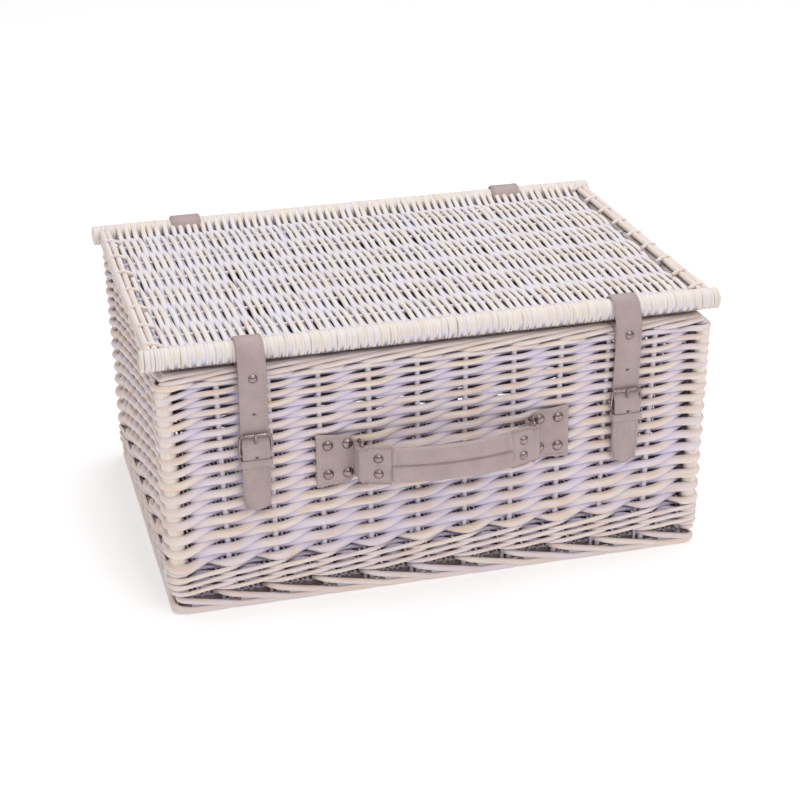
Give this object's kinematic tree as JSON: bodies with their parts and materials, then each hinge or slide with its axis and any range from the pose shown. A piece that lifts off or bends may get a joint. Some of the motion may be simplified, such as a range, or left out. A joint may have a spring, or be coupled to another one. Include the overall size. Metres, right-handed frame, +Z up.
{
  "type": "wicker picnic basket",
  "caption": "Rectangular whitewashed willow hamper with a woven lid on leather hinges, leather buckle straps and a leather front carrying handle.",
  "frame": {"origin": "on the floor under the middle of the whole basket, the front handle and the rear hinge rivets included", "axes": "+X to the basket's right seen from the front, along its length; +Y to the back; +Z up"},
  "size_m": [0.46, 0.3582, 0.2249],
  "materials": {
    "willow": "matte whitewashed split and round willow",
    "pale_stick": "matte whitewashed willow sticks, cream showing through",
    "leather": "satin taupe leather with stitched edges",
    "nickel": "polished nickel plate"
  },
  "bodies": {
    "root": {"foot_border": "willow", "base_panel": "willow", "upsett_wale": "willow", "front_wall": "willow", "back_wall": "willow", "left_wall": "willow", "right_wall": "willow", "top_border": "willow", "corner_post_front_left": "pale_stick", "corner_post_front_right": "pale_stick", "corner_post_back_left": "pale_stick", "corner_post_back_right": "pale_stick", "buckle_strap_left": "leather", "strap_keeper_left": "leather", "handle_plate_left": "leather", "hinge_rivet_left": "nickel", "plate_rivet_left_1": "nickel", "plate_rivet_left_2": "nickel", "plate_rivet_left_3": "nickel", "plate_rivet_left_4": "nickel", "buckle_strap_right": "leather", "strap_keeper_right": "leather", "handle_plate_right": "leather", "hinge_rivet_right": "nickel", "plate_rivet_right_1": "nickel", "plate_rivet_right_2": "nickel", "plate_rivet_right_3": "nickel", "plate_rivet_right_4": "nickel"},
    "lid": {"lid_front_rail": "willow", "lid_rear_rail": "willow", "lid_weave": "willow", "lid_stick_1": "pale_stick", "lid_stick_2": "pale_stick", "lid_stick_3": "pale_stick", "lid_stick_4": "pale_stick", "lid_stick_5": "pale_stick", "lid_stick_6": "pale_stick", "lid_left_border": "pale_stick", "lid_right_border": "pale_stick", "hinge_strap_left": "leather", "hinge_strap_right": "leather"},
    "strap_left": {"closing_strap_left": "leather", "strap_rivet_left": "nickel"},
    "buckle_left": {"buckle_frame_left": "nickel"},
    "prong_left": {"buckle_prong_left": "nickel"},
    "ring_left": {"handle_ring_left": "nickel"},
    "strap_right": {"closing_strap_right": "leather", "strap_rivet_right": "nickel"},
    "buckle_right": {"buckle_frame_right": "nickel"},
    "prong_right": {"buckle_prong_right": "nickel"},
    "ring_right": {"handle_ring_right": "nickel"},
    "handle": {"handle_strap": "leather", "handle_grip": "leather", "tab_rivet_1": "nickel", "tab_rivet_2": "nickel", "tab_rivet_3": "nickel", "tab_rivet_4": "nickel"}
  },
  "joints": [
    {"name": "lid_hinge", "type": "hinge", "parent": "root", "child": "lid", "pos_m": [0, 0.17478, 0.2036], "axis": [-1, 0, 0], "range_deg": [0, 110], "deforming": ["hinge_strap_left", "hinge_strap_right", "closing_strap_left", "closing_strap_right"]},
    {"name": "strap_left_lift", "type": "hinge", "parent": "lid", "child": "strap_left", "pos_m": [-0.149, -0.13542, 0.2136], "axis": [-1, 0, 0], "range_deg": [0, 100], "deforming": ["closing_strap_left"]},
    {"name": "strap_right_lift", "type": "hinge", "parent": "lid", "child": "strap_right", "pos_m": [0.149, -0.13542, 0.2136], "axis": [-1, 0, 0], "range_deg": [0, 100], "deforming": ["closing_strap_right"]},
    {"name": "buckle_left_turn", "type": "hinge", "parent": "root", "child": "buckle_left", "pos_m": [-0.149, -0.14882, 0.135], "axis": [1, 0, 0], "range_deg": [0, 80]},
    {"name": "prong_left_turn", "type": "hinge", "parent": "buckle_left", "child": "prong_left", "pos_m": [-0.149, -0.14882, 0.135], "axis": [1, 0, 0], "range_deg": [0, 60]},
    {"name": "buckle_right_turn", "type": "hinge", "parent": "root", "child": "buckle_right", "pos_m": [0.149, -0.14882, 0.135], "axis": [1, 0, 0], "range_deg": [0, 80]},
    {"name": "prong_right_turn", "type": "hinge", "parent": "buckle_right", "child": "prong_right", "pos_m": [0.149, -0.14882, 0.135], "axis": [1, 0, 0], "range_deg": [0, 60]},
    {"name": "ring_right_swing", "type": "hinge", "parent": "root", "child": "ring_right", "pos_m": [0.069, -0.14993, 0.1197], "axis": [0, 0, 1], "range_deg": [-35, 35]},
    {"name": "ring_left_swing", "type": "hinge", "parent": "root", "child": "ring_left", "pos_m": [-0.069, -0.14993, 0.1197], "axis": [0, 0, 1], "range_deg": [-35, 35]},
    {"name": "handle_turn", "type": "hinge", "parent": "ring_right", "child": "handle", "pos_m": [0.069, -0.1618, 0.1197], "axis": [0, 0, 1], "range_deg": [-35, 35]}
  ],
  "couplings": [
    {"joint": "ring_left_swing", "follows": "ring_right_swing", "ratio": 1},
    {"joint": "handle_turn", "follows": "ring_right_swing", "ratio": -1}
  ]
}
